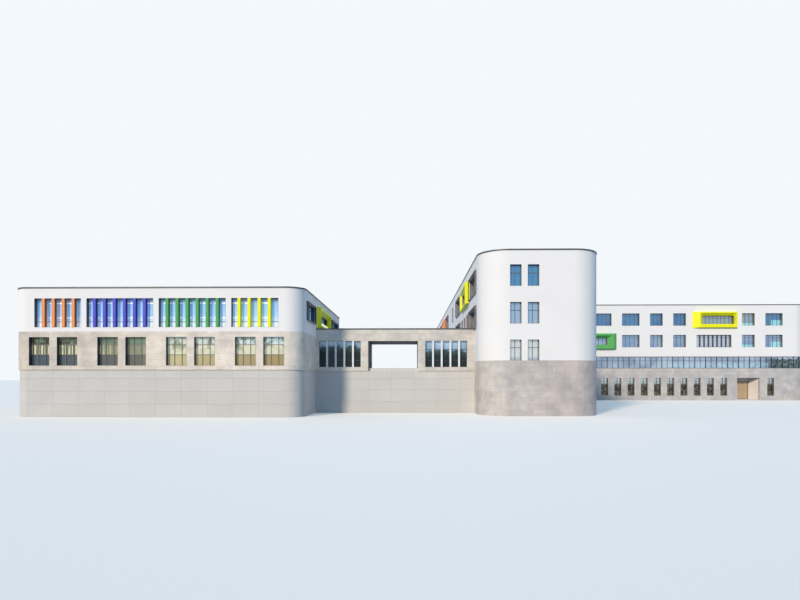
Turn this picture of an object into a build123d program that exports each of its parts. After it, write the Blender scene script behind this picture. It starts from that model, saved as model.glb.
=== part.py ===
from build123d import *
import os
from collections import namedtuple
from math import cos, radians, sin

# A school of four joined wings with rounded corners, as a 1:10 model in millimetres:
# 100 mm stands for one metre of the real building. +X is right, +Y is back, +Z is up,
# and the origin is under the middle of the whole plan, on the lowest ground.

os.makedirs("parts", exist_ok=True)

# Levels and thicknesses; the ground falls from the west wing down to the far entrance
ground_rise = 470.0
storey_height = 360.0
slab = 30.0
wall = 40.0
parapet = 38.0
coping_height = 12.0
coping_overhang = 6.0
sill_height = 55.0
window_height = 207.0
stone_skirt = 63.0
glass = 3.0
foundation_setback = 10.0
floor_corner_bays = 3

# West wing: two storeys
west_width = 2734.0
west_depth = 2800.0
west_radius = 170.0
west_stone_height = 326.0
west_top_storey_height = 328.0

# Link: one storey with an open passage through its middle
link_width = 1657.0
link_depth = 620.0
link_setback = 710.0
link_storey_height = 365.0
link_left_margin = 33.0
link_right_margin = 80.0
portal_width = 520.0
portal_height = 283.0

# Spine: three storeys on a stone plinth, running far back
spine_width = 1180.0
spine_length = 8600.0
spine_setback = 230.0
spine_radius = 280.0

# Far wing: four storeys, branching off the spine to the right
far_width = 4830.0
far_depth = 1400.0
far_setback = 4290.0
far_base_slab = 15.0
band_height = 197.0

site_left = -(west_width + link_width + spine_width + far_width) / 2
site_front = -(spine_setback + spine_length) / 2

Wing = namedtuple("Wing", "left right front back radius")
west = Wing(site_left, site_left + west_width, site_front, site_front + west_depth, west_radius)
link = Wing(west.right, west.right + link_width, site_front + link_setback,
            site_front + link_setback + link_depth, 0.0)
spine = Wing(link.right, link.right + spine_width, site_front + spine_setback,
             site_front + spine_setback + spine_length, spine_radius)
far = Wing(spine.right, spine.right + far_width, site_front + far_setback,
           site_front + far_setback + far_depth, spine_radius)

floor_1 = ground_rise
floor_2 = floor_1 + storey_height
floor_3 = floor_2 + storey_height
floors = (floor_1, floor_2, floor_3)
upper_base = ground_rise - slab
main_roof = floor_3 + storey_height
main_wall_top = main_roof + parapet
stone_top = floor_1 + stone_skirt
band_top = stone_top + band_height
west_stone_top = floor_1 + west_stone_height
west_roof = floor_2 + west_top_storey_height
west_wall_top = west_roof + parapet
link_roof = floor_1 + link_storey_height
link_wall_top = link_roof + parapet


def save(piece, name):
    piece.part.label = name
    export_step(piece.part, f"parts/{name}.step")


def rect_between(a0, a1, b0, b1, mode=Mode.ADD):
    with Locations(((a0 + a1) / 2, (b0 + b1) / 2)):
        Rectangle(a1 - a0, b1 - b0, mode=mode)


def block(x0, x1, y0, y1, z0, z1):
    with BuildSketch(Plane.XY.offset(z0)) as plan:
        rect_between(x0, x1, y0, y1)
    extrude(plan.sketch, amount=z1 - z0)


def cross_wall(x0, x1, outer, inward, z0, z1, holes=()):
    """A wall that runs along X, with its holes given as (x, width, bottom, top)."""
    with BuildSketch(Plane.XZ.offset(-outer)) as face:
        rect_between(x0, x1, z0, z1)
        for start, width, bottom, top in holes:
            rect_between(start, start + width, bottom, top, Mode.SUBTRACT)
    extrude(face.sketch, amount=-inward * wall)


def long_wall(y0, y1, outer, inward, z0, z1, holes=()):
    """A wall that runs along Y, with its holes given as (y, width, bottom, top)."""
    with BuildSketch(Plane.YZ.offset(outer)) as face:
        rect_between(y0, y1, z0, z1)
        for start, width, bottom, top in holes:
            rect_between(start, start + width, bottom, top, Mode.SUBTRACT)
    extrude(face.sketch, amount=inward * wall)


def corner_wall(x, y, radius, turn, z0, z1):
    """A quarter of a round wall about (x, y); turn 0 is the back right corner."""
    with BuildSketch(Plane.XY.offset(z0)) as plan:
        with Locations((x, y)):
            Circle(radius)
            Circle(radius - wall, mode=Mode.SUBTRACT)
            Rectangle(radius, radius, rotation=turn, align=(Align.MIN, Align.MIN), mode=Mode.INTERSECT)
    extrude(plan.sketch, amount=z1 - z0)


def round_corners(wing):
    """Each round corner's centre and turn, starting with the two on the right."""
    return [(wing.right - wing.radius, wing.front + wing.radius, 270),
            (wing.right - wing.radius, wing.back - wing.radius, 0),
            (wing.left + wing.radius, wing.back - wing.radius, 90),
            (wing.left + wing.radius, wing.front + wing.radius, 180)]


far_corners = round_corners(far)[:2]


def corner_walls(corners, radius, z0, z1):
    for x, y, turn in corners:
        corner_wall(x, y, radius, turn, z0, z1)


def quarter_points(x, y, radius, turn, bays):
    """The points that divide a quarter circle about (x, y) into equal flat bays."""
    angles = [radians(turn + 90 * bay / bays) for bay in range(bays + 1)]
    return [(x + radius * cos(angle), y + radius * sin(angle)) for angle in angles]


def floor_slab(corners, inner_radius, square_end, bottom, top):
    """A slab inside the walls, with flat bays in its round corners."""
    points = [point for x, y, turn in corners
              for point in quarter_points(x, y, inner_radius, turn, floor_corner_bays)]
    with BuildSketch(Plane.XY.offset(bottom)) as plan:
        with BuildLine():
            Polyline(*points, *square_end, close=True)
        make_face()
    extrude(plan.sketch, amount=top - bottom)


def rounded_plan(wing, grow, mode=Mode.ADD):
    """The rounded outline of a whole wing, grown outwards by one distance."""
    with Locations(((wing.left + wing.right) / 2, (wing.front + wing.back) / 2)):
        RectangleRounded(wing.right - wing.left + 2 * grow, wing.back - wing.front + 2 * grow,
                         wing.radius + grow, mode=mode)


def far_plan(start, grow, mode=Mode.ADD):
    """The far wing's outline from X = start, with round corners at its right end only."""
    round_start = start - 2 * far.radius
    with BuildSketch(mode=Mode.PRIVATE) as outline:
        with Locations(((round_start + far.right + grow) / 2, (far.front + far.back) / 2)):
            RectangleRounded(far.right + grow - round_start, far_depth + 2 * grow, far.radius + grow)
        rect_between(round_start, start, far.front - grow, far.back + grow, Mode.SUBTRACT)
    add(outline.sketch, mode=mode)


def spaced_windows(origin, length, margin, widths):
    """Windows of the given widths with equal piers between them, as (start, width)."""
    pier = (length - 2 * margin - sum(widths)) / (len(widths) - 1)
    row = []
    start = origin + margin
    for width in widths:
        row.append((start, width))
        start += width + pier
    return row


def window_holes(row, floor):
    """The holes of one storey's ordinary windows, at the usual sill and head."""
    return [(start, width, floor + sill_height, floor + sill_height + window_height)
            for start, width in row]


# Coloured box frames: each stands out from the wall, with slanting outer sides, a flat
# rim, and inner sides that splay from the window out to the rim. Every edge has its own
# slant, rim and splay, one side of most boxes slants much more than the other, and the two
# sides may stand out from the wall by different depths.
Edge = namedtuple("Edge", "slant rim splay")
Box = namedtuple("Box", "start width bottom top left_depth right_depth left right foot head")
plain_side = Edge(13.0, 19.0, 8.0)


def box_outline(box, level):
    """The box's rectangle at its wall (0), outer rim (1), inner rim (2) or window (3)."""
    left, right, foot, head = [sum(edge[:level]) for edge in (box.left, box.right, box.foot, box.head)]
    return box.start + left, box.start + box.width - right, box.bottom + foot, box.top - head


def splayed_box(wall_plane, box):
    """Two lofts: from the wall out to the rim, and from the rim back to the window."""
    rim_left, rim_right, bottom, top = box_outline(box, 1)
    left_end = wall_plane.from_local_coords(Vector(rim_left, 0, box.left_depth))
    right_end = wall_plane.from_local_coords(Vector(rim_right, 0, box.right_depth))
    along = right_end - left_end
    rim_plane = Plane(left_end, x_dir=along, z_dir=along.cross(wall_plane.y_dir))
    outlines = []
    for plane, level, shift in ((wall_plane, 0, 0), (rim_plane, 1, rim_left),
                                (rim_plane, 2, rim_left), (wall_plane, 3, 0)):
        left, right, bottom, top = box_outline(box, level)
        with BuildSketch(plane) as outline:
            rect_between(left - shift, right - shift, bottom, top)
        outlines.append(outline.sketch)
    loft(sections=outlines[:2], ruled=True)
    loft(sections=outlines[2:], ruled=True, mode=Mode.SUBTRACT)


def box_hole(box):
    """The window hole behind a box, as (start, width, bottom, top)."""
    left, right, bottom, top = box_outline(box, 3)
    return left, right - left, bottom, top


# West wing, ground storey: four pairs of tall windows in stone-clad walls
tall_window = 192.0
pair_gap = 70.0
pair_count = 4
tall_margin = 8.5
tall_sill = 9.0
tall_head = 274.0
west_straight = west_width - 2 * west_radius

tall_holes = []
for start, width in spaced_windows(west.left + west.radius, west_straight, tall_margin,
                                   [2 * tall_window + pair_gap] * pair_count):
    for left in (start, start + tall_window + pair_gap):
        tall_holes.append((left, tall_window, floor_1 + tall_sill, floor_1 + tall_head))

with BuildPart() as west_stone_cross_walls:
    for outer, inward in ((west.front, 1), (west.back, -1)):
        cross_wall(west.left + west.radius, west.right - west.radius, outer, inward,
                   upper_base, west_stone_top, tall_holes)
save(west_stone_cross_walls, "west_wing_stone_front_and_rear_walls")

with BuildPart() as west_stone_long_walls:
    for outer, inward in ((west.left, 1), (west.right, -1)):
        long_wall(west.front + west.radius, west.back - west.radius, outer, inward,
                  upper_base, west_stone_top)
save(west_stone_long_walls, "west_wing_stone_side_walls")

# West wing, upper storey: four long openings with upright coloured fins in white walls.
# Each group has its colour, its number of fins and how far they stand off centre.
fin_width = 21.0
fin_depth = 28.0
fin_margin = 68.0
fin_pier = 51.0
fin_wall_margin = 60.0
fin_sill = 5.0
fin_head = 273.0
short_group_count = 4
long_group_count = 6
orange_fin_shift = 7.0
blue_fin_shift = -3.0
green_fin_shift = 0.0
yellow_fin_shift = -6.0
fin_groups = (("orange", short_group_count, orange_fin_shift), ("blue", long_group_count, blue_fin_shift),
              ("green", long_group_count, green_fin_shift), ("yellow", short_group_count, yellow_fin_shift))
fixed_length = (2 * fin_wall_margin + (len(fin_groups) - 1) * fin_pier
                + len(fin_groups) * (fin_width + 2 * fin_margin))
fin_pitch = (west_straight - fixed_length) / sum(count - 1 for colour, count, shift in fin_groups)

fin_holes = []
start = west.left + west.radius + fin_wall_margin
for colour, count, shift in fin_groups:
    width = (count - 1) * fin_pitch + fin_width + 2 * fin_margin
    fin_holes.append((start, width, floor_2 + fin_sill, floor_2 + fin_head))
    with BuildPart() as fins:
        for number in range(count):
            left = start + fin_margin + shift + number * fin_pitch
            block(left, left + fin_width, west.front, west.front + fin_depth,
                  floor_2 + fin_sill, floor_2 + fin_head)
    save(fins, f"{colour}_fins")
    start += width + fin_pier

with BuildPart() as west_white_cross_walls:
    for outer, inward in ((west.front, 1), (west.back, -1)):
        cross_wall(west.left + west.radius, west.right - west.radius, outer, inward,
                   west_stone_top, west_wall_top, fin_holes)
save(west_white_cross_walls, "west_wing_white_front_and_rear_walls")

# West wing's side walls: a window near each end and, on the right, a yellow box between
side_sill = 97.0
side_head = 255.0
side_front_margin = 183.0
side_front_window = 437.0
side_rear_margin = 370.0
side_rear_window = 580.0
west_box_offset = 760.0
west_box_width = 775.0
west_box_bottom = 65.0
west_box_top = 286.0
west_box_depth = 45.0
west_box_foot = Edge(20.0, 10.0, 53.0)
west_box_head = Edge(2.0, 27.0, 34.0)
west_box = Box(west.front + west_box_offset, west_box_width, floor_2 + west_box_bottom,
               floor_2 + west_box_top, west_box_depth, west_box_depth, plain_side, plain_side,
               west_box_foot, west_box_head)
side_holes = [(west.front + side_front_margin, side_front_window, floor_2 + side_sill, floor_2 + side_head),
              (west.back - side_rear_margin - side_rear_window, side_rear_window,
               floor_2 + side_sill, floor_2 + side_head)]

with BuildPart() as west_white_long_walls:
    for outer, inward, holes in ((west.left, 1, side_holes),
                                 (west.right, -1, side_holes + [box_hole(west_box)])):
        long_wall(west.front + west.radius, west.back - west.radius, outer, inward,
                  west_stone_top, west_wall_top, holes)
save(west_white_long_walls, "west_wing_white_side_walls")

# West wing, foundation down to the lowest ground, and floors
with BuildPart() as west_foundation:
    with BuildSketch() as plan:
        rounded_plan(west, -foundation_setback)
        rounded_plan(west, -foundation_setback - wall, Mode.SUBTRACT)
    extrude(plan.sketch, amount=upper_base)
save(west_foundation, "west_wing_foundation")

with BuildPart() as west_floors:
    for level in (floor_1, floor_2):
        floor_slab(round_corners(west), west.radius - wall, [], level - slab, level)
save(west_floors, "west_wing_floors")

# Link: stone walls beside the passage, with white fins across their long windows
link_pier = 77.0
link_window = (link_width - link_left_margin - link_right_margin - portal_width) / 2 - link_pier
link_sill = 10.0
link_head = 284.0
link_fin = 18.0
link_fin_count = 4
passage_wall = 20.0
passage_ceiling = 10.0
portal_left = link.left + link_left_margin + link_window + link_pier
portal_right = portal_left + portal_width
link_windows = (portal_left - link_pier - link_window, portal_right + link_pier)

with BuildPart() as link_walls:
    for outer, inward in ((link.front, 1), (link.back, -1)):
        for x0, x1, start in ((link.left, portal_left, link_windows[0]),
                              (portal_right, link.right, link_windows[1])):
            cross_wall(x0, x1, outer, inward, upper_base, link_wall_top,
                       [(start, link_window, floor_1 + link_sill, floor_1 + link_head)])
save(link_walls, "link_front_and_rear_walls")

with BuildPart() as link_fins:
    fin_bay = (link_window + link_fin) / (link_fin_count + 1)
    for y in (link.front, link.back - fin_depth):
        for start in link_windows:
            for number in range(link_fin_count):
                left = start + (number + 1) * fin_bay - link_fin
                block(left, left + link_fin, y, y + fin_depth, floor_1 + link_sill, floor_1 + link_head)
save(link_fins, "link_window_fins")

with BuildPart() as passage_walls:
    for x in (portal_left - passage_wall, portal_right):
        block(x, x + passage_wall, link.front + wall, link.back - wall, floor_1, link_roof - slab)
save(passage_walls, "link_passage_walls")

with BuildPart() as passage_soffit:
    block(portal_left, portal_right, link.front + wall, link.back - wall,
          floor_1 + portal_height, floor_1 + portal_height + passage_ceiling)
save(passage_soffit, "link_passage_ceiling")

with BuildPart() as link_foundation:
    for y in (link.front + foundation_setback, link.back - foundation_setback - wall):
        block(link.left - foundation_setback, link.right, y, y + wall, 0, upper_base)
save(link_foundation, "link_foundation")

with BuildPart() as link_floor:
    block(link.left, link.right, link.front + wall, link.back - wall, upper_base, floor_1)
save(link_floor, "link_floor")

with BuildPart() as west_glass:
    for floor, ceiling in ((floor_1, floor_2 - slab), (floor_2, west_roof - slab)):
        for y in (west.front + wall, west.back - wall - glass):
            block(west.left + west.radius, west.right - west.radius, y, y + glass, floor, ceiling)
    for x in (west.left + wall, west.right - wall - glass):
        block(x, x + glass, west.front + west.radius, west.back - west.radius,
              floor_2, west_roof - slab)
    for y in (link.front + wall, link.back - wall - glass):
        for x0, x1 in ((link.left, portal_left - passage_wall), (portal_right + passage_wall, link.right)):
            block(x0, x1, y, y + glass, floor_1, link_roof - slab)
save(west_glass, "west_wing_and_link_glass")

# Spine, west side: two like modules of wide and narrow windows with a box in the top row
wide = 640.0
narrow = 120.0
module_count = 2
first_window = 50.0
module_box = 685.0
narrow_count = 3
first_narrow = 860.0
narrow_pitch = 310.0
second_window = 1795.0
last_narrow = 3040.0
spine_straight = spine_length - 2 * spine_radius
module_length = spine_straight / module_count
spine_box_width = 930.0
spine_box_bottom = 24.0
spine_box_top = 272.0
spine_box_near_depth = 48.0
spine_box_rear_depth = 28.0
spine_box_near_side = Edge(70.0, 20.0, 70.0)
spine_box_foot = Edge(3.0, 15.0, 5.0)
spine_box_head = Edge(3.0, 23.0, 33.0)

spine_boxes = []
spine_west_holes = []
for module in range(module_count):
    start = spine.front + spine.radius + module * module_length
    common = [(start + second_window, wide), (start + last_narrow, narrow)]
    small = [(start + first_narrow + number * narrow_pitch, narrow) for number in range(narrow_count)]
    first = [(start + first_window, wide)]
    clear_of_link = start + first_window > link.back
    spine_west_holes += window_holes(first + common, floor_3)
    spine_west_holes += window_holes(first + small + common, floor_2)
    spine_west_holes += window_holes((first if clear_of_link else []) + small + common, floor_1)
    box = Box(-(start + module_box + spine_box_width), spine_box_width, floor_3 + spine_box_bottom,
              floor_3 + spine_box_top, spine_box_rear_depth, spine_box_near_depth,
              plain_side, spine_box_near_side, spine_box_foot, spine_box_head)
    left, width, bottom, top = box_hole(box)
    spine_west_holes.append((-(left + width), width, bottom, top))
    spine_boxes.append(box)

# Spine, east side: open to the far wing between its near and rear walls
east_margin = 150.0
near_count = 4
rear_count = 3
near_wall = (spine.front + spine.radius, far.front + wall)
rear_wall = (far.back - wall, spine.back - spine.radius)
near_row = spaced_windows(near_wall[0], near_wall[1] - near_wall[0], east_margin, [wide] * near_count)
rear_row = spaced_windows(rear_wall[0], rear_wall[1] - rear_wall[0], east_margin, [wide] * rear_count)

with BuildPart() as spine_stone_sides:
    long_wall(spine.front + spine.radius, spine.back - spine.radius, spine.left, 1, 0, stone_top)
    long_wall(spine.front + spine.radius, spine.back - spine.radius, spine.right, -1, 0, stone_top,
              [(near_wall[1], rear_wall[0] - near_wall[1], upper_base, stone_top)])
save(spine_stone_sides, "spine_stone_side_walls")

with BuildPart() as spine_white_sides:
    long_wall(spine.front + spine.radius, spine.back - spine.radius, spine.left, 1,
              stone_top, main_wall_top, spine_west_holes)
    for (y0, y1), row in ((near_wall, near_row), (rear_wall, rear_row)):
        holes = [hole for floor in floors for hole in window_holes(row, floor)]
        long_wall(y0, y1, spine.right, -1, stone_top, main_wall_top, holes)
save(spine_white_sides, "spine_white_side_walls")

# Spine, round-cornered ends with a pair of windows on each storey
end_window = 110.0
end_pair_gap = 59.0
end_pair_offset = 282.0
end_row = [(spine.left + end_pair_offset, end_window),
           (spine.left + end_pair_offset + end_window + end_pair_gap, end_window)]

with BuildPart() as spine_stone_ends:
    for outer, inward in ((spine.front, 1), (spine.back, -1)):
        cross_wall(spine.left + spine.radius, spine.right - spine.radius, outer, inward, 0, stone_top)
save(spine_stone_ends, "spine_stone_end_walls")

with BuildPart() as spine_white_ends:
    holes = [hole for floor in floors for hole in window_holes(end_row, floor)]
    for outer, inward in ((spine.front, 1), (spine.back, -1)):
        cross_wall(spine.left + spine.radius, spine.right - spine.radius, outer, inward,
                   stone_top, main_wall_top, holes)
save(spine_white_ends, "spine_white_end_walls")

with BuildPart() as spine_floors:
    for level in floors:
        floor_slab(round_corners(spine), spine.radius - wall, [], level - slab, level)
save(spine_floors, "spine_floors")

with BuildPart() as spine_roof:
    with BuildSketch(Plane.XY.offset(main_roof - slab)) as plan:
        rounded_plan(spine, -wall)
    extrude(plan.sketch, amount=slab)
save(spine_roof, "spine_roof")

with BuildPart() as spine_glass:
    for floor in floors:
        ceiling = floor + storey_height - slab
        for y in (spine.front + wall, spine.back - wall - glass):
            block(spine.left + spine.radius, spine.right - spine.radius, y, y + glass, floor, ceiling)
        block(spine.left + wall, spine.left + wall + glass,
              spine.front + spine.radius, spine.back - spine.radius, floor, ceiling)
        for y0, y1 in (near_wall, rear_wall):
            block(spine.right - wall - glass, spine.right - wall, y0, y1, floor, ceiling)
save(spine_glass, "spine_glass")

# Far wing, ground storey: narrow windows in a stone wall, and the entrance niche
slot_window = 115.0
slot_pitch = 219.3
slot_margin = 255.0
slot_clearance = 100.0
slot_sill = 77.0
slot_head = 370.0
last_slot_gap = 123.0
niche_width = 374.0
niche_end_distance = 573.0
niche_height = 374.0
niche_depth = 180.0
niche_wall = 20.0
far_straight_end = far.right - far.radius
niche_right = far_straight_end - niche_end_distance
niche_left = niche_right - niche_width
niche_back = far.front + niche_depth

slot_count = 1 + int((niche_left - slot_clearance - slot_window - far.left - slot_margin) / slot_pitch)
slot_holes = [(far.left + slot_margin + number * slot_pitch, slot_window, slot_sill, slot_head)
              for number in range(slot_count)]
last_slot = (niche_right + last_slot_gap, slot_window, slot_sill, slot_head)

with BuildPart() as far_stone_walls:
    cross_wall(far.left, niche_left, far.front, 1, 0, stone_top, slot_holes)
    cross_wall(niche_right, far_straight_end, far.front, 1, 0, stone_top, [last_slot])
    cross_wall(far.left, far_straight_end, far.back, -1, 0, stone_top, slot_holes + [last_slot])
save(far_stone_walls, "far_wing_stone_front_and_rear_walls")

with BuildPart() as far_stone_end:
    long_wall(far.front + far.radius, far.back - far.radius, far.right, -1, 0, stone_top)
save(far_stone_end, "far_wing_stone_end_wall")

with BuildPart() as lintels:
    for outer, inward in ((link.front, 1), (link.back, -1)):
        cross_wall(portal_left, portal_right, outer, inward, floor_1 + portal_height, link_wall_top)
    cross_wall(niche_left, niche_right, far.front, 1, niche_height, stone_top)
save(lintels, "portal_and_entrance_lintels")

# Entrance niche: a straight wall on the left, a splayed one on the right, a door at the back
door_width = 175.0
door_height = 300.0
splay_run = 84.0
splay_foot = 3.0
door_right = niche_right - splay_run - splay_foot
door_left = door_right - door_width

with BuildPart() as niche_sides:
    block(niche_left - niche_wall, niche_left, far.front + wall, niche_back + niche_wall,
          far_base_slab, niche_height)
    with BuildSketch(Plane.XY.offset(far_base_slab)) as plan:
        with BuildLine():
            Polyline((niche_right, far.front + wall), (niche_right + niche_wall, far.front + wall),
                     (niche_right + niche_wall, niche_back + niche_wall),
                     (door_right + splay_foot, niche_back + niche_wall),
                     (door_right + splay_foot, niche_back), close=True)
        make_face()
    extrude(plan.sketch, amount=niche_height - far_base_slab)
save(niche_sides, "entrance_side_walls")

with BuildPart() as niche_rear:
    block(niche_left, door_left, niche_back, niche_back + niche_wall, far_base_slab, niche_height)
save(niche_rear, "entrance_back_wall")

with BuildPart() as niche_header:
    block(door_left, door_right + splay_foot, niche_back, niche_back + niche_wall,
          far_base_slab + door_height, niche_height)
save(niche_header, "entrance_door_header")

with BuildPart() as niche_soffit:
    block(niche_left - niche_wall, niche_right + niche_wall, far.front + wall, niche_back + niche_wall,
          niche_height, niche_height + niche_wall)
save(niche_soffit, "entrance_ceiling")

# Entrance doors: two timber leaves in a dark metal frame, on pivots at their outer edges
frame_face = 5.0
frame_depth = 12.0
leaf_thickness = 4.5
leaf_gap = 1.5
pin_radius = 1.5
pin_length = 3.0
pin_clearance = 0.3
pin_inset = 4.0
threshold = 5.0

leaf_y = niche_back + frame_depth / 2
leaf_bottom = far_base_slab + threshold + leaf_gap
leaf_top = far_base_slab + door_height - frame_face - leaf_gap
leaf_left = door_left + frame_face + leaf_gap
leaf_right = door_right - frame_face - leaf_gap
door_middle = (door_left + door_right) / 2

with BuildPart() as door_frame:
    with BuildSketch(Plane.XZ.offset(-niche_back)) as face:
        rect_between(door_left, door_right, far_base_slab, far_base_slab + door_height)
        rect_between(door_left + frame_face, door_right - frame_face,
                     far_base_slab + threshold, far_base_slab + door_height - frame_face, Mode.SUBTRACT)
    extrude(face.sketch, amount=-frame_depth)
    with BuildSketch(Plane.XY.offset(leaf_bottom - pin_length)) as sockets:
        with Locations((leaf_left + pin_inset, leaf_y), (leaf_right - pin_inset, leaf_y)):
            Circle(pin_radius + pin_clearance)
    extrude(sockets.sketch, amount=leaf_top - leaf_bottom + 2 * pin_length, mode=Mode.SUBTRACT)
save(door_frame, "entrance_door_frame")

for name, x0, x1, pin_x in (("left", leaf_left, door_middle - leaf_gap / 2, leaf_left + pin_inset),
                            ("right", door_middle + leaf_gap / 2, leaf_right, leaf_right - pin_inset)):
    with BuildPart() as leaf:
        block(x0, x1, leaf_y - leaf_thickness / 2, leaf_y + leaf_thickness / 2, leaf_bottom, leaf_top)
        for z in (leaf_bottom - pin_length + pin_clearance, leaf_top):
            with BuildSketch(Plane.XY.offset(z)) as pin:
                with Locations((pin_x, leaf_y)):
                    Circle(pin_radius)
            extrude(pin.sketch, amount=pin_length - pin_clearance)
    save(leaf, f"entrance_door_{name}_leaf")

# Far wing, glazed band between the stone and the white walls, in flat bays round the corners
band_recess = 8.0
band_depth = 12.0
band_rail = 6.0
post_width = 6.0
post_pitch = 184.0
corner_bays = 4
band_radius = far.radius - band_recess
pane_recess = band_recess + band_depth


def straight_band(plane, start, end, depth):
    """One flat run of the glazed band: two rails and posts, as one grid."""
    bays = round((end - start) / post_pitch)
    step = (end - start - post_width) / bays
    with BuildSketch(plane) as face:
        rect_between(start, end, stone_top, band_top)
        for bay in range(bays):
            left = start + post_width + bay * step
            rect_between(left, left + step - post_width, stone_top + band_rail, band_top - band_rail,
                         Mode.SUBTRACT)
    extrude(face.sketch, amount=depth)


def faceted_corner(x, y, radius, depth, turn, z0, z1):
    """A quarter turn of flat bays about (x, y), like the round corner beside it."""
    outside = quarter_points(x, y, radius, turn, corner_bays)
    inside = quarter_points(x, y, radius - depth, turn, corner_bays)
    with BuildSketch(Plane.XY.offset(z0)) as plan:
        with BuildLine():
            Polyline(*outside, *reversed(inside), close=True)
        make_face()
    extrude(plan.sketch, amount=z1 - z0)


with BuildPart() as band_straight:
    straight_band(Plane.XZ.offset(-far.front - band_recess), far.left, far_straight_end, -band_depth)
    straight_band(Plane.XZ.offset(-far.back + band_recess), far.left, far_straight_end, band_depth)
    straight_band(Plane.YZ.offset(far.right - band_recess), far.front + far.radius,
                  far.back - far.radius, -band_depth)
save(band_straight, "glazed_band_straight_frames")

with BuildPart() as band_corners:
    for x, y, turn in far_corners:
        for z0, z1 in ((stone_top, stone_top + band_rail), (band_top - band_rail, band_top)):
            faceted_corner(x, y, band_radius, band_depth, turn, z0, z1)
        for bay in range(1, corner_bays):
            with BuildSketch(Plane.XY.offset(stone_top)) as post:
                with Locations((x, y)):
                    with PolarLocations(band_radius - band_depth / 2, 1,
                                        start_angle=turn + 90 * bay / corner_bays):
                        Rectangle(band_depth, post_width)
            extrude(post.sketch, amount=band_height)
save(band_corners, "glazed_band_corner_frames")

pane_gap = 1.0
with BuildPart() as band_glass:
    for y in (far.front + pane_recess, far.back - pane_recess - glass):
        block(far.left, far_straight_end - pane_gap, y, y + glass, stone_top, band_top)
    block(far.right - pane_recess - glass, far.right - pane_recess,
          far.front + far.radius + pane_gap, far.back - far.radius - pane_gap, stone_top, band_top)
    for x, y, turn in far_corners:
        faceted_corner(x, y, far.radius - pane_recess, glass, turn, stone_top, band_top)
save(band_glass, "glazed_band_glass")

# Far wing, two white storeys above the band, with a yellow and a green box on the front
row_margin = 289.0
row_shift = 94.0
medium_window = 290.0
short_window = 210.0
long_window = 577.0
last_window = 285.0
far_widths = [medium_window, short_window, medium_window, medium_window, short_window, short_window,
              long_window, short_window, last_window]
box_pier = 92.0
end_margin = 35.0
far_box_width = 732.0
far_box_depth = 55.0
yellow_box_bottom = 13.0
yellow_box_top = 286.0
yellow_box_left = Edge(104.0, 10.0, 58.0)
yellow_box_foot = Edge(15.0, 50.0, 5.0)
yellow_box_head = Edge(6.0, 20.0, 40.0)
green_box_bottom = 19.0
green_box_top = 288.0
green_box_right = Edge(60.0, 34.0, 59.0)
green_box_foot = Edge(12.0, 50.0, 16.0)
green_box_head = Edge(5.0, 32.0, 40.0)
far_row = spaced_windows(far.left + row_shift, far_straight_end - far.left, row_margin, far_widths)
yellow_box = Box(far_row[7][0] - box_pier - far_box_width, far_box_width, floor_3 + yellow_box_bottom,
                 floor_3 + yellow_box_top, far_box_depth, far_box_depth, yellow_box_left, plain_side,
                 yellow_box_foot, yellow_box_head)
green_box = Box(far_row[3][0] - box_pier - far_box_width, far_box_width, floor_2 + green_box_bottom,
                floor_2 + green_box_top, far_box_depth, far_box_depth, plain_side, green_box_right,
                green_box_foot, green_box_head)
front_holes = (window_holes(far_row[:6] + far_row[7:], floor_3) + [box_hole(yellow_box)]
               + window_holes(far_row[:1] + far_row[3:], floor_2) + [box_hole(green_box)])
rear_holes = window_holes(far_row, floor_3) + window_holes(far_row, floor_2)
far_end_row = spaced_windows(far.front + far.radius, far_depth - 2 * far.radius, end_margin,
                             [short_window, short_window])

with BuildPart() as far_white_walls:
    cross_wall(far.left, far_straight_end, far.front, 1, band_top, main_wall_top, front_holes)
    cross_wall(far.left, far_straight_end, far.back, -1, band_top, main_wall_top, rear_holes)
save(far_white_walls, "far_wing_white_front_and_rear_walls")

with BuildPart() as far_white_end:
    long_wall(far.front + far.radius, far.back - far.radius, far.right, -1, band_top, main_wall_top,
              window_holes(far_end_row, floor_3) + window_holes(far_end_row, floor_2))
save(far_white_end, "far_wing_white_end_wall")

with BuildPart() as far_floors:
    for start, bottom, top in ((far.left, 0, far_base_slab), (spine.right - wall, upper_base, floor_1),
                               (spine.right - wall, floor_2 - slab, floor_2),
                               (spine.right - wall, floor_3 - slab, floor_3)):
        floor_slab(far_corners, far.radius - wall, [(start, far.back - wall), (start, far.front + wall)],
                   bottom, top)
save(far_floors, "far_wing_floors")

with BuildPart() as far_glass:
    for floor in (floor_2, floor_3):
        ceiling = floor + storey_height - slab
        for y in (far.front + wall, far.back - wall - glass):
            block(far.left, far_straight_end, y, y + glass, floor, ceiling)
        block(far.right - wall - glass, far.right - wall, far.front + far.radius, far.back - far.radius,
              floor, ceiling)
    for x0, x1, y in ((far.left, niche_left - niche_wall, far.front + wall),
                      (niche_right + niche_wall, far_straight_end, far.front + wall),
                      (far.left, far_straight_end, far.back - wall - glass)):
        block(x0, x1, y, y + glass, far_base_slab, upper_base)
save(far_glass, "far_wing_glass")

# The coloured boxes, each on its wall's outer face
west_face = Plane((spine.left, 0, 0), x_dir=(0, -1, 0), z_dir=(-1, 0, 0))
with BuildPart() as yellow_boxes:
    splayed_box(Plane.YZ.offset(west.right), west_box)
    splayed_box(west_face, spine_boxes[0])
    splayed_box(Plane.XZ.offset(-far.front), yellow_box)
save(yellow_boxes, "yellow_box_frames")

with BuildPart() as green_boxes:
    splayed_box(Plane.XZ.offset(-far.front), green_box)
save(green_boxes, "green_box_frames")

with BuildPart() as orange_box:
    splayed_box(west_face, spine_boxes[1])
save(orange_box, "orange_box_frame")

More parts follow.
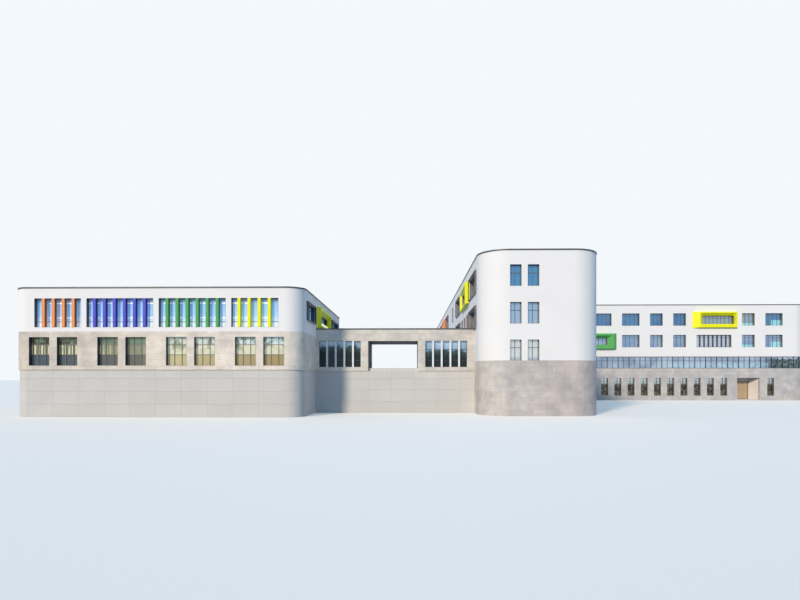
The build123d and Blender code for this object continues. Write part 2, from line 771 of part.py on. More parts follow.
# Round corners of all wings, in stone below and white above
with BuildPart() as stone_corners:
    corner_walls(round_corners(west), west.radius, upper_base, west_stone_top)
    corner_walls(round_corners(spine), spine.radius, 0, stone_top)
    corner_walls(far_corners, far.radius, 0, stone_top)
save(stone_corners, "stone_wall_corners")

with BuildPart() as white_corners:
    corner_walls(round_corners(west), west.radius, west_stone_top, west_wall_top)
    corner_walls(round_corners(spine), spine.radius, stone_top, main_wall_top)
    corner_walls(far_corners, far.radius, band_top, main_wall_top)
save(white_corners, "white_wall_corners")

# Flat roofs below the parapets, and the metal copings on top of them
with BuildPart() as flat_roofs:
    with BuildSketch(Plane.XY.offset(west_roof - slab)) as plan:
        rounded_plan(west, -wall)
    extrude(plan.sketch, amount=slab)
    block(link.left, link.right, link.front + wall, link.back - wall, link_roof - slab, link_roof)
    with BuildSketch(Plane.XY.offset(main_roof - slab)) as plan:
        far_plan(spine.right - wall, -wall)
    extrude(plan.sketch, amount=slab)
save(flat_roofs, "west_link_and_far_roofs")

with BuildPart() as copings:
    with BuildSketch(Plane.XY.offset(west_wall_top)) as plan:
        rounded_plan(west, coping_overhang)
        rounded_plan(west, -wall - coping_overhang, Mode.SUBTRACT)
    extrude(plan.sketch, amount=coping_height)
    with BuildSketch(Plane.XY.offset(main_wall_top)) as plan:
        middle = (spine.left + spine.right) / 2
        rounded_plan(spine, coping_overhang)
        far_plan(middle, coping_overhang)
        rounded_plan(spine, -wall - coping_overhang, Mode.SUBTRACT)
        far_plan(middle, -wall - coping_overhang, Mode.SUBTRACT)
    extrude(plan.sketch, amount=coping_height)
    for y0, y1 in ((link.front - coping_overhang, link.front + wall + coping_overhang),
                   (link.back - wall - coping_overhang, link.back + coping_overhang)):
        block(link.left, link.right, y0, y1, link_wall_top, link_wall_top + coping_height)
save(copings, "roof_copings")
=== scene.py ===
from math import radians

import bmesh
import bpy
from mathutils import Matrix, Vector


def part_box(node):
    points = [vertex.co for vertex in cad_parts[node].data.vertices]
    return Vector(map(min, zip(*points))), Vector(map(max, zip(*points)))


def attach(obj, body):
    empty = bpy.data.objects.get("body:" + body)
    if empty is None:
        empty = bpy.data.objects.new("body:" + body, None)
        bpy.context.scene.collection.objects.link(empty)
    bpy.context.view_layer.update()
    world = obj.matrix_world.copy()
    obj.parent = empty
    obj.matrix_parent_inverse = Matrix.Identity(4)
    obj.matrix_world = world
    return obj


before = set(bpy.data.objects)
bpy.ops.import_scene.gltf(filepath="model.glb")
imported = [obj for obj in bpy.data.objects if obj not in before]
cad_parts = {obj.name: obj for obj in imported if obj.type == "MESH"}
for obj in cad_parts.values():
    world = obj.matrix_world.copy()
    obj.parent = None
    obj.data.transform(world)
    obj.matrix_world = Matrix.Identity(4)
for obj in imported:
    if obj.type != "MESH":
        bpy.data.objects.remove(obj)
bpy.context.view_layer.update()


# Concrete foundations and floor slabs. The ground falls to the right, so the west wing and
# the link stand on a plain concrete wall, cast in boards, and each storey has a smooth slab.
class Socket:
    """A shader socket that can be used in sums, and that any other node can start from."""

    def __init__(self, tree, output=None):
        self.tree = tree
        self.output = output

    def node(self, kind, settings=None, inputs=None, output=0):
        made = self.tree.nodes.new(kind)
        settings = dict(settings or {})
        stops = settings.pop("stops", None)
        for name, value in settings.items():
            setattr(made, name, value)
        if stops:
            ramp = made.color_ramp.elements
            while len(ramp) < len(stops):
                ramp.new(1.0)
            for element, (position, colour) in zip(ramp, stops):
                element.position = position
                element.color = (*colour, 1.0)
        for name, value in (inputs or {}).items():
            if isinstance(value, Socket):
                self.tree.links.new(value.output, made.inputs[name])
            else:
                made.inputs[name].default_value = value
        return Socket(self.tree, made.outputs[output])

    def sum(self, operation, first, second=0.0):
        return self.node("ShaderNodeMath", {"operation": operation}, {0: first, 1: second})

    def __add__(self, other):
        return self.sum("ADD", self, other)

    def __sub__(self, other):
        return self.sum("SUBTRACT", self, other)

    def __rsub__(self, other):
        return self.sum("SUBTRACT", other, self)

    def __mul__(self, other):
        return self.sum("MULTIPLY", self, other)

    def __gt__(self, other):
        return self.sum("GREATER_THAN", self, other)

    __radd__ = __add__
    __rmul__ = __mul__

    def between(self, low, high, start=0.0, end=1.0):
        return self.node("ShaderNodeMapRange", None, {0: self, 1: low, 2: high, 3: start, 4: end})

    def within(self, low, high):
        """1 between two values, and 0 outside them."""
        return (self > low) * (1 - (self > high))

    def repeat(self, per_metre):
        """From 0 to 1 over and over, so many times a metre."""
        return self.sum("FRACT", self * per_metre)

    def mix(self, first, second):
        """The first colour where this is 0, and the second where it is 1."""
        return self.node("ShaderNodeMix", {"data_type": "RGBA"}, {0: self, 6: first, 7: second}, 2)

    def tint(self, other):
        """This colour times another."""
        return self.node("ShaderNodeMix", {"data_type": "RGBA", "blend_type": "MULTIPLY"},
                         {0: 1.0, 6: self, 7: other}, 2)

    def tones(self, *stops):
        """Colours by distance along an axis: each stop is metres and a colour."""
        first, last = stops[0][0], stops[-1][0]
        placed = [((metres - first) / (last - first), colour) for metres, colour in stops]
        return self.node("ShaderNodeValToRGB", {"stops": placed},
                         {0: self.between(first, last)}, "Color")

    def noise(self, scale, detail=3.0, roughness=0.55):
        inputs = {"Vector": self, "Scale": scale, "Detail": detail, "Roughness": roughness}
        return self.node("ShaderNodeTexNoise", None, inputs, "Fac")

    def bump(self, distance, strength=1.0):
        inputs = {"Strength": strength, "Distance": distance, "Height": self}
        return self.node("ShaderNodeBump", None, inputs)


def new_finish(name):
    """A new material and its Object coordinates, from which its other nodes start."""
    material = bpy.data.materials.new(name)
    material.use_nodes = True
    return material, Socket(material.node_tree).node("ShaderNodeTexCoord", output="Object")


def coat(material, **values):
    """Sets or links the main shader's sockets; an underscore stands for a space."""
    shader = material.node_tree.nodes["Principled BSDF"]
    for name, value in values.items():
        socket = shader.inputs[name.replace("_", " ")]
        if isinstance(value, Socket):
            material.node_tree.links.new(value.output, socket)
        else:
            socket.default_value = value


def finish_nodes(material, *names):
    """Puts a finish on the part's own solids, through their material slots."""
    for name in names:
        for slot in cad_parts[name].material_slots:
            slot.material = material


def axes(place):
    """The three coordinates of a place, each as a socket."""
    return [place.node("ShaderNodeSeparateXYZ", None, {0: place}, axis) for axis in ("X", "Y", "Z")]


def sideways(place):
    """1 on faces that look left or right, and 0 on those that look to the front or rear."""
    facing_x = axes(place.node("ShaderNodeNewGeometry", output="True Normal"))[0]
    return facing_x * facing_x > 0.5


def along_wall(place):
    """Distance along a wall, whichever way it faces."""
    x, y, z = axes(place)
    side_wall = sideways(place)
    return side_wall * y + (1 - side_wall) * x


def on_wall(place):
    """A place on a wall, as distance along it and height."""
    return place.node("ShaderNodeCombineXYZ", None, {0: along_wall(place), 1: axes(place)[2]})


concrete, place = new_finish("cast_concrete")
board_rows = {"Vector": on_wall(place), "Scale": 1.0, "Mortar Size": 0.0012, "Brick Width": 0.24,
              "Row Height": 0.12}
boards = place.node("ShaderNodeTexBrick", {"offset": 0.0},
                    {**board_rows, "Color1": (0.60, 0.585, 0.555, 1),
                     "Color2": (0.64, 0.625, 0.595, 1), "Mortar": (0.50, 0.485, 0.46, 1)}, "Color")
seams = place.node("ShaderNodeTexBrick", {"offset": 0.0}, board_rows, "Fac")
stains = place.noise(5.0, 5.0).between(0.35, 0.75)
coat(concrete, Base_Color=(stains * 0.5).mix(boards, (0.54, 0.525, 0.495, 1)),
     Roughness=place.noise(40.0).between(0.3, 0.7, 0.8, 0.95),
     Normal=(place.noise(160.0) * 0.3 - seams).bump(0.0015, 0.6))
finish_nodes(concrete, "west_wing_foundation", "link_foundation", "west_wing_floors", "link_floor",
             "spine_floors", "far_wing_floors")

# Stone-clad ground storeys: thin honed panels of pale beige and pinkish grey stone, about
# 1.2 m by 0.6 m, hung in half bond with open joints. The stone greys from wing to wing, and
# the west wing's stone is painted darker towards its left end, as painted shade.
stone, place = new_finish("honed_stone_panels")
# Tones by wing; from -5.2 to -2.7 the west wing's stone darkens towards its left end, which is
# painted shade.
wing_tones_and_painted_shade = axes(place)[0].tones((-5.2, (0.66, 0.605, 0.53)), (-2.7, (0.81, 0.76, 0.685)),
                               (-1.7, (0.71, 0.695, 0.635)), (0.0, (0.56, 0.515, 0.505)),
                               (2.5, (0.56, 0.555, 0.55)))
panel_rows = {"Vector": on_wall(place), "Scale": 1.0, "Mortar Size": 0.0009, "Mortar Smooth": 0.2,
              "Brick Width": 0.12, "Row Height": 0.0592}
panels = place.node("ShaderNodeTexBrick", None,
                    {**panel_rows, "Color1": (1.0, 1.0, 1.0, 1),
                     "Color2": (0.88, 0.87, 0.875, 1), "Mortar": (0.80, 0.78, 0.76, 1)}, "Color")
joints = place.node("ShaderNodeTexBrick", None, panel_rows, "Fac")
clouds = place.noise(6.5, 5.0, 0.65).between(0.36, 0.64)
veins = place.noise(60.0, 6.0, 0.7).between(0.4, 0.7)
cloudy = clouds.mix((0.83, 0.835, 0.85, 1), (1.12, 1.10, 1.065, 1))
veined = veins.mix((1.0, 1.0, 1.0, 1), (0.93, 0.92, 0.91, 1))
coat(stone, Base_Color=wing_tones_and_painted_shade.tint(panels).tint(cloudy).tint(veined),
     Roughness=veins.between(0.0, 1.0, 0.55, 0.75),
     Normal=(veins * 0.15 - joints).bump(0.0012, 0.5))
finish_nodes(stone, "west_wing_stone_front_and_rear_walls", "west_wing_stone_side_walls",
             "link_front_and_rear_walls", "portal_and_entrance_lintels", "spine_stone_side_walls",
             "spine_stone_end_walls", "far_wing_stone_front_and_rear_walls",
             "far_wing_stone_end_wall", "stone_wall_corners")

# White upper walls: smooth mineral render on insulation, laid on by hand, with the soft
# unevenness and the fine grain of trowelled work.
render, place = new_finish("white_mineral_render")
mottle = place.noise(3.5, 4.0).between(0.3, 0.7)
grain = place.noise(220.0, 2.0)
coat(render, Base_Color=(mottle * 0.6).mix((0.825, 0.825, 0.825, 1), (0.875, 0.875, 0.875, 1)),
     Roughness=grain.between(0.3, 0.7, 0.78, 0.9),
     Normal=(grain * 0.5 + mottle).bump(0.0006, 0.35))
finish_nodes(render, "west_wing_white_front_and_rear_walls", "west_wing_white_side_walls",
             "spine_white_side_walls", "spine_white_end_walls",
             "far_wing_white_front_and_rear_walls", "far_wing_white_end_wall", "white_wall_corners")

# Flat roofs: a waterproof sheet on a concrete slab, held down by a bed of grey gravel that is
# spread between low parapets.
gravel, place = new_finish("roof_gravel")
pebbles = place.node("ShaderNodeTexVoronoi", None, {"Vector": place, "Scale": 180.0}, "Distance")
shades = place.noise(70.0, 4.0).between(0.3, 0.7)
coat(gravel, Base_Color=shades.mix((0.30, 0.30, 0.29, 1), (0.50, 0.49, 0.47, 1)),
     Roughness=shades.between(0.0, 1.0, 0.85, 0.97),
     Normal=(1 - pebbles).bump(0.003, 0.7))
finish_nodes(gravel, "spine_roof", "west_link_and_far_roofs")

# Parapet copings: aluminium sheet, folded over the head of the wall and painted dark grey, in
# lengths of 2 m with a thin dark joint between them.
coping, place = new_finish("dark_coping")
butt_joints = along_wall(place).repeat(5.0) > 0.985
sheen = place.noise(14.0).between(0.3, 0.7)
sheet = sheen.mix((0.055, 0.06, 0.07, 1), (0.10, 0.105, 0.115, 1))
coat(coping, Base_Color=butt_joints.mix(sheet, (0.02, 0.02, 0.02, 1)),
     Metallic=0.3, Roughness=sheen.between(0.0, 1.0, 0.35, 0.5),
     Normal=(1 - butt_joints).bump(0.0006, 0.5))
finish_nodes(coping, "roof_copings")


# Window glass: insulating panes with a mirror coating and a dim room behind them. Their colours
# are painted reflections, different on each storey: trees and lawn near the ground, and a
# brighter sky further up.
def glass_finish(name, node, colour_of, mirror=0.6, painted_glow=0.0):
    pane, place = new_finish(name)
    x, y, z = axes(place)
    ripple = place.noise(2.2).between(0.35, 0.7)
    colour = colour_of(place, x, z)
    coat(pane, Base_Color=colour, Roughness=ripple.between(0.0, 1.0, 0.04, 0.1), Metallic=mirror,
         Alpha=ripple.between(0.0, 1.0, 0.88, 0.95))
    # The pane's own colour also glows, which is painted light: the panes shine like the sky they
    # mirror.
    if painted_glow:
        coat(pane, Emission_Color=colour, Emission_Strength=painted_glow, Specular_IOR_Level=0.25)
    finish_nodes(pane, node)


lower_bar_height = 0.582
upper_bar_height = 0.675
ground_storey_top = 0.8
lamp_levels = (0.921, 1.055)
lamp_depth = 0.011
link_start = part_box("link_front_and_rear_walls")[0].x


def west_and_link_glass(place, x, z):
    # Ground storey, lowest row: a painted reflection of the lawn, darkened at the left end as
    # painted shade; the middle row shows the rooms behind.
    painted_lawn_reflection_and_shade = x.tones((-4.9, (0.07, 0.095, 0.11)), (-4.0, (0.13, 0.13, 0.11)),
                   (-3.7, (0.48, 0.43, 0.24)), (-2.8, (0.33, 0.26, 0.13)))
    rooms = x.tones((-4.9, (0.16, 0.16, 0.11)), (-4.0, (0.25, 0.24, 0.17)),
                    (-3.7, (0.62, 0.61, 0.46)), (-2.8, (0.60, 0.59, 0.45)))
    # Top row of the tall windows: a painted reflection, dark at the left end and pale sky to the
    # right.
    painted_top_row_reflection = x.tones((-4.9, (0.06, 0.055, 0.04)), (-4.0, (0.15, 0.21, 0.16)),
                  (-3.7, (0.54, 0.58, 0.50)), (-2.8, (0.54, 0.66, 0.70)))
    slats = x.repeat(31.0).within(0.1, 0.6) * z.within(0.585, 0.67)
    blinds = slats * x.between(-4.5, -4.1, 0.8, 0.0)
    below_top_row = (z > lower_bar_height).mix(painted_lawn_reflection_and_shade, blinds.mix(rooms, (0.70, 0.70, 0.45, 1)))
    rows = (z > upper_bar_height).mix(below_top_row, painted_top_row_reflection)
    # Painted reflections of trees across the middle of the tall windows.
    leaves = place.noise(13.0, 5.0, 0.7).between(0.49, 0.56)
    trees = (leaves * z.between(0.58, 0.68) * 0.85).mix(rows, (0.17, 0.23, 0.15, 1))
    # Link windows: painted reflections of dark treetops under a painted sky.
    treetops = z + place.noise(9.0, 6.0, 0.7) * 0.22 + x.between(-2.3, -1.3, -0.04, 0.01)
    link = treetops.tones((0.70, (0.010, 0.022, 0.024)), (0.76, (0.035, 0.07, 0.075)),
                          (0.78, (0.19, 0.30, 0.40)), (0.86, (0.35, 0.49, 0.61)))
    # Upper storey: a painted sky reflection, with strips of painted lamp light from lit ceiling
    # lamps.
    sky = z.tones((0.835, (0.76, 0.86, 0.95)), (0.885, (0.62, 0.78, 0.93)),
                  (0.95, (0.36, 0.60, 0.86)), (1.06, (0.30, 0.52, 0.80)),
                  (1.10, (0.12, 0.21, 0.36)))
    lit = (x * 0.5 + 7.3).noise(22.0, 1.0) > 0.5
    low_lamps, high_lamps = [z.within(level, level + lamp_depth) for level in lamp_levels]
    ground_storey = (x > link_start).mix(trees, link)
    upper_storey = ((low_lamps + high_lamps) * lit * 0.9).mix(sky, (1.0, 1.0, 1.0, 1))
    return (z > ground_storey_top).mix(ground_storey, upper_storey)


glass_finish("west_wing_and_link_panes", "west_wing_and_link_glass", west_and_link_glass,
             mirror=0.1, painted_glow=0.3)

# Tall windows of the west wing's ground storey: eight a side, in pairs, each a dark metal
# frame with slim bars, set deep in the stone.
floor_1 = 0.47
floor_2 = 0.83
floor_3 = 1.19
wall = 0.04
bar_depth = 0.007
lining = 0.002
reveal = 0.039
west_low, west_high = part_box("west_wing_white_side_walls")
straight_low, straight_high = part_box("west_wing_white_front_and_rear_walls")
west_start, west_end = straight_low.x, straight_high.x
west_front, west_back = straight_low.y, straight_high.y
tall_width = 0.192
tall_gap = 0.07
tall_margin = 0.0085
pair_count = 4


def metal_paint(name, dark, light, smoothest, roughest, metallic=0.2, grain=30.0):
    """Paint on metal bars and sheet: a thin film whose tone and gloss vary a little."""
    paint, place = new_finish(name)
    film = place.noise(grain).between(0.3, 0.7)
    coat(paint, Base_Color=film.mix((*dark, 1), (*light, 1)), Metallic=metallic,
         Roughness=film.between(0.0, 1.0, smoothest, roughest), Normal=film.bump(0.0003, 0.3))
    return paint


slate = metal_paint("slate_frame_paint", (0.035, 0.045, 0.065), (0.055, 0.065, 0.09), 0.3, 0.45)
pewter = metal_paint("pewter_bar_paint", (0.13, 0.14, 0.145), (0.18, 0.19, 0.195), 0.35, 0.5)


def window(left, width, floor, sill, head, columns=(), rows=()):
    """A window hole, and the bars that cross it as shares of its width and its height."""
    return (left, width, floor + sill, floor + head), columns, rows


def holes_only(windows):
    """The same window holes, with no bars across them."""
    return [(hole, (), ()) for hole, *bars in windows]


def stand(side, plane):
    """Turns a flat frame, drawn as across and up, to stand on one side of the building."""
    across = Vector((1, 0, 0)) if side in ("front", "rear") else Vector((0, 1, 0))
    out = {"front": (0, -1, 0), "rear": (0, 1, 0), "left": (-1, 0, 0), "right": (1, 0, 0)}[side]
    turned = Matrix((across, Vector((0, 0, 1)), Vector(out))).transposed().to_4x4()
    turned.translation = Vector(out) * (plane * sum(out))
    return turned


def add_piece(name, mesh, material, slot):
    piece = bpy.data.objects.new(name, mesh)
    bpy.context.scene.collection.objects.link(piece)
    piece.data.materials.append(material)
    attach(piece, "building")


def window_frames(name, walls, bar, material, depth=bar_depth, grow=0.0):
    """One mesh of window bars: grids cut into panes, each pane inset, and the rest thickened."""
    whole = bmesh.new()
    for side, plane, windows in walls:
        sheet = bmesh.new()
        for (left, width, bottom, top), columns, rows in windows:
            across = [0.0, *columns, 1.0]
            up = [0.0, *rows, 1.0]
            grid = bmesh.ops.create_grid(sheet, x_segments=len(across) - 1,
                                         y_segments=len(up) - 1, size=0.5)
            for vertex in grid["verts"]:
                column = round((vertex.co.x + 0.5) * (len(across) - 1))
                row = round((vertex.co.y + 0.5) * (len(up) - 1))
                vertex.co = (left - grow + (width + 2 * grow) * across[column],
                             bottom - grow + (top - bottom + 2 * grow) * up[row], 0)
        panes = sheet.faces[:]
        bars = bmesh.ops.inset_individual(sheet, faces=panes, thickness=bar / 2,
                                          use_even_offset=True)
        bmesh.ops.delete(sheet, geom=panes, context="FACES")
        thick = bmesh.ops.extrude_face_region(sheet, geom=bars["faces"])
        raised = [part for part in thick["geom"] if isinstance(part, bmesh.types.BMVert)]
        bmesh.ops.translate(sheet, verts=raised, vec=(0, 0, depth))
        bmesh.ops.transform(sheet, matrix=stand(side, plane), verts=sheet.verts)
        bmesh.ops.recalc_face_normals(sheet, faces=sheet.faces)
        step = bpy.data.meshes.new(name)
        sheet.to_mesh(step)
        whole.from_mesh(step)
        bpy.data.meshes.remove(step)
        sheet.free()
    mesh = bpy.data.meshes.new(name)
    whole.to_mesh(mesh)
    whole.free()
    add_piece(name, mesh, material, "dark_frame")


def linings(name, walls, material):
    """A thin metal lining in each window hole, from the glass to just behind the wall's face."""
    bare = [(side, plane, holes_only(windows)) for side, plane, windows in walls]
    window_frames(name, bare, 2 * lining, material, reveal)


tall_windows = []
pairs_length = west_end - west_start - 2 * tall_margin
pair_step = (pairs_length - 2 * tall_width - tall_gap) / (pair_count - 1)
for pair in range(pair_count):
    for shift in (0, tall_width + tall_gap):
        left = west_start + tall_margin + pair * pair_step + shift
        tall_windows.append(window(left, tall_width, floor_1, sill=0.009, head=0.274,
                                   columns=(0.34, 0.70), rows=(0.39, 0.74)))
tall_walls = [("front", west_front + wall, tall_windows), ("rear", west_back - wall, tall_windows)]
window_frames("tall_window_frames", tall_walls, bar=0.004, material=pewter)
linings("tall_window_linings", tall_walls, slate)

# Long windows of the west wing's upper storey: a run of panes behind each group of fins,
# with light strips at the head painted into the glass as painted lamp light, in the same dark
# frame.
fin_width = 0.021
fin_margin = 0.068
fin_pier = 0.051
fin_wall_margin = 0.06
fin_counts = (4, 6, 6, 4)
fin_shifts = (0.007, -0.003, 0.0, -0.006)
groups = len(fin_counts)
fixed_length = (2 * fin_wall_margin + (groups - 1) * fin_pier
                + groups * (fin_width + 2 * fin_margin))
fin_pitch = (west_end - west_start - fixed_length) / (sum(fin_counts) - groups)
long_windows = []
left = west_start + fin_wall_margin
for count, shift in zip(fin_counts, fin_shifts):
    width = (count - 1) * fin_pitch + fin_width + 2 * fin_margin
    first_fin = shift + fin_margin + fin_width / 2
    bars = [(first_fin + number * fin_pitch) / width for number in range(count)]
    long_windows.append(window(left, width, floor_2, sill=0.005, head=0.273,
                               columns=bars, rows=(0.2,)))
    left += width + fin_pier
long_walls = [("front", west_front + wall, long_windows), ("rear", west_back - wall, long_windows)]
window_frames("long_window_frames", long_walls, bar=0.004, material=pewter)
linings("long_window_linings", long_walls, slate)


# Upright fins: flat aluminium boards in four bright colours, one colour to each window. A
# wider cover is fixed to the front and the back of each, powder coated to a satin finish. The
# sides of the boards are painted dark, which is painted shade.
def satin_paint(name, colour, *nodes, side=None):
    paint, place = new_finish(name)
    soft = place.noise(25.0).between(0.3, 0.7)
    deep = tuple(part * 0.88 for part in colour)
    tone = soft.mix((*deep, 1), (*colour, 1))
    # Faces that look left or right take the dark side colour, which is painted shade.
    if side:
        tone = sideways(place).mix(tone, (*side, 1))
    coat(paint, Base_Color=tone, Roughness=soft.between(0.0, 1.0, 0.35, 0.48),
         Specular_IOR_Level=0.25, Normal=place.noise(300.0).bump(0.0002, 0.25))
    finish_nodes(paint, *nodes)
    return paint


orange = (0.90, 0.33, 0.11)
yellow = (0.93, 0.93, 0.015)
# Each fin colour with its dark side colour; the side colour is painted shade.
fin_faces_and_painted_shade_sides = {"orange": (orange, (0.10, 0.08, 0.08)),
               "blue": ((0.085, 0.085, 0.60), (0.03, 0.035, 0.10)),
               "green": ((0.075, 0.39, 0.105), (0.02, 0.06, 0.05)),
               "yellow": (yellow, (0.16, 0.16, 0.04))}
cover_width = 0.028
cover_depth = 0.005
cover_gap = 0.001
cover_rounding = 0.0015
for (colour, (face, side)), (hole, bars, _) in zip(fin_faces_and_painted_shade_sides.items(), long_windows):
    satin_paint(colour + "_fin_satin", face, colour + "_fins", side=side)
    fins_low, fins_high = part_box(colour + "_fins")
    fin_height = fins_high.z - fins_low.z
    size = Matrix.Diagonal((cover_width, 2 * cover_depth, fin_height - cover_gap, 1))
    covers = bmesh.new()
    for middle in bars:
        for face_y in (fins_low.y, fins_high.y):
            centre = Vector((hole[0] + hole[1] * middle, face_y, (fins_low.z + fins_high.z) / 2))
            bmesh.ops.create_cube(covers, size=1.0, matrix=Matrix.Translation(centre) @ size)
    uprights = [edge for edge in covers.edges
                if abs(edge.verts[0].co.z - edge.verts[1].co.z) > fin_height / 2]
    bmesh.ops.bevel(covers, geom=uprights, offset=cover_rounding, segments=2, profile=0.5,
                    affect="EDGES", material=-1)
    mesh = bpy.data.meshes.new(colour + "_fin_face_covers")
    covers.to_mesh(mesh)
    covers.free()
    add_piece(colour + "_fin_face_covers", mesh, satin_paint(colour + "_cover_satin", face),
              colour + "_paint")

# Box frames: welded sheet round one window each, in the same orange and yellow as the fins
# and in a lighter green, with every side painted.
satin_paint("orange_satin", orange, "orange_box_frame")
satin_paint("green_satin", (0.12, 0.47, 0.125), "green_box_frames")
satin_paint("yellow_satin", yellow, "yellow_box_frames")


# Windows in the west wing's side walls: two in each wall, and on the right a low one inside
# the yellow box. The right-hand pair has surrounds of folded sheet that stand out from the
# render and are painted like the frames.
def even(count):
    """Where bars stand that split a window into so many equal panes."""
    return [number / count for number in range(1, count)]


side_windows = [window(left=west_front + 0.183, width=0.437, floor=floor_2, sill=0.097, head=0.255,
                       columns=even(4), rows=(0.75,)),
                window(left=west_back - 0.95, width=0.58, floor=floor_2, sill=0.097, head=0.255,
                       columns=even(5), rows=(0.75,))]
west_box_window = window(left=west_front + 0.8, width=0.695, floor=floor_2, sill=0.148, head=0.223,
                         columns=even(4), rows=(0.7,))
west_side_walls = [("left", west_low.x + wall, side_windows),
                   ("right", west_high.x - wall, side_windows + [west_box_window])]
window_frames("west_side_window_frames", west_side_walls, bar=0.006, material=slate)
linings("west_side_window_linings", west_side_walls, slate)
window_frames("west_side_window_surrounds", [("right", west_high.x, holes_only(side_windows))],
              bar=0.014, material=slate, depth=0.018, grow=0.012)

# Link: white fins stand across its tall windows, and the walk-through passage is lined with
# dark metal sheet.
satin_paint("white_satin", (0.83, 0.84, 0.86), "link_window_fins")
passage, place = new_finish("dark_lining")
brushed = place.noise(12.0, 4.0).between(0.3, 0.7)
coat(passage, Base_Color=brushed.mix((0.048, 0.047, 0.046, 1), (0.08, 0.078, 0.076, 1)),
     Metallic=0.1, Roughness=brushed.between(0.0, 1.0, 0.55, 0.7), Specular_IOR_Level=0.3)
finish_nodes(passage, "link_passage_walls", "link_passage_ceiling", "entrance_ceiling")

link_low, link_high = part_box("link_front_and_rear_walls")
link_window = 0.435
link_pier = 0.077
portal_middle = 0.805
portal_width = 0.52
portal_left = link_low.x + portal_middle - portal_width / 2
portal_right = portal_left + portal_width
link_windows = [window(left, link_window, floor_1, sill=0.01, head=0.284,
                       columns=even(5), rows=(0.26, 0.67))
                for left in (portal_left - link_pier - link_window, portal_right + link_pier)]
link_walls = [("front", link_low.y + wall, link_windows),
              ("rear", link_high.y - wall, link_windows)]
window_frames("link_window_frames", link_walls, bar=0.005, material=slate)
linings("link_window_linings", link_walls, slate)

# Spine windows: ordinary windows with a sill at desk height, wide and narrow, three storeys,
# each with a transom and upright bars, set back in the white wall. Those of the long left
# side have surrounds of folded grey sheet.
wide = 0.64
narrow = 0.12
wide_offsets = (0.05, 1.795)
narrow_offsets = (0.86, 1.17, 1.48, 3.04)
end_offsets = (0.002, 0.171)
end_width = 0.11
far_wing_front = -0.085
far_wing_rear = 1.235
east_margin = 0.15
spine_low, spine_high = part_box("spine_white_side_walls")
end_low, end_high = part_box("spine_white_end_walls")


def storey_window(left, width, floor, columns, rows=(0.8,)):
    """A window with the sill and the head that all of the white storeys share."""
    return window(left, width, floor, sill=0.055, head=0.262, columns=columns, rows=rows)


def spine_glass(place, x, z):
    # Painted reflections: a sky that is paler in the lower storeys, and dark trees painted into the
    # lowest storey.
    slanting = (x + axes(place)[1] + z) * (1 / 3)
    painted_tree_reflections = (slanting + 3.7).noise(9.0, 4.0, 0.6) > 0.56
    sky = z.tones((0.52, (0.26, 0.36, 0.47)), (0.58, (0.74, 0.79, 0.81)),
                  (0.80, (0.66, 0.71, 0.75)), (0.86, (0.38, 0.54, 0.72)),
                  (1.15, (0.32, 0.51, 0.72)), (1.2, (0.10, 0.32, 0.58)), (1.5, (0.09, 0.29, 0.54)))
    return (painted_tree_reflections * z.between(0.62, 0.8, 0.55, 0.0)).mix(sky, (0.16, 0.19, 0.22, 1))


glass_finish("spine_panes", "spine_glass", spine_glass)
bronze = metal_paint("bronze_lining", (0.17, 0.145, 0.13), (0.24, 0.21, 0.19), 0.4, 0.55,
                     metallic=0.1)
surround_paint = metal_paint("grey_surround_paint", (0.13, 0.125, 0.14), (0.19, 0.185, 0.20),
                             0.35, 0.5, grain=20.0)

spine_left_windows = []
spine_box_windows = []
modules = 2
module = (spine_high.y - spine_low.y) / modules
for number in range(modules):
    start_y = spine_low.y + number * module
    spine_box_windows.append(window(left=start_y + 0.845, width=0.73, floor=floor_3, sill=0.047,
                                    head=0.213, columns=even(5), rows=(0.8,)))
    for floor in (floor_1, floor_2, floor_3):
        beside_link = floor == floor_1 and number == 0
        for offset in wide_offsets[1:] if beside_link else wide_offsets:
            spine_left_windows.append(storey_window(start_y + offset, wide, floor, even(5)))
        for offset in narrow_offsets[3:] if floor == floor_3 else narrow_offsets:
            spine_left_windows.append(storey_window(start_y + offset, narrow, floor, even(2)))

spine_right_windows = []
for low, high, count in ((spine_low.y, far_wing_front, 4), (far_wing_rear, spine_high.y, 3)):
    pitch = (high - low - 2 * east_margin - wide) / (count - 1)
    for number in range(count):
        left = low + east_margin + number * pitch
        for floor in (floor_1, floor_2, floor_3):
            spine_right_windows.append(storey_window(left, wide, floor, even(5)))

spine_end_windows = [storey_window(end_low.x + offset, end_width, floor, (0.47,), (0.64,))
                     for floor in (floor_1, floor_2, floor_3) for offset in end_offsets]
spine_walls = [("left", spine_low.x + wall, spine_left_windows + spine_box_windows),
               ("right", spine_high.x - wall, spine_right_windows),
               ("front", end_low.y + wall, spine_end_windows),
               ("rear", end_high.y - wall, spine_end_windows)]
window_frames("spine_window_frames", spine_walls, bar=0.005, material=pewter)
linings("spine_window_linings", spine_walls, bronze)
surround_holes = holes_only(spine_left_windows)
wide_holes = [bare for bare in surround_holes if bare[0][1] > narrow]
narrow_holes = [bare for bare in surround_holes if bare[0][1] == narrow]
window_frames("spine_wide_window_surrounds", [("left", spine_low.x, wide_holes)],
              bar=0.014, material=surround_paint, depth=0.018, grow=0.012)
window_frames("spine_narrow_window_surrounds", [("left", spine_low.x, narrow_holes)],
              bar=0.012, material=surround_paint, depth=0.007, grow=0.007)

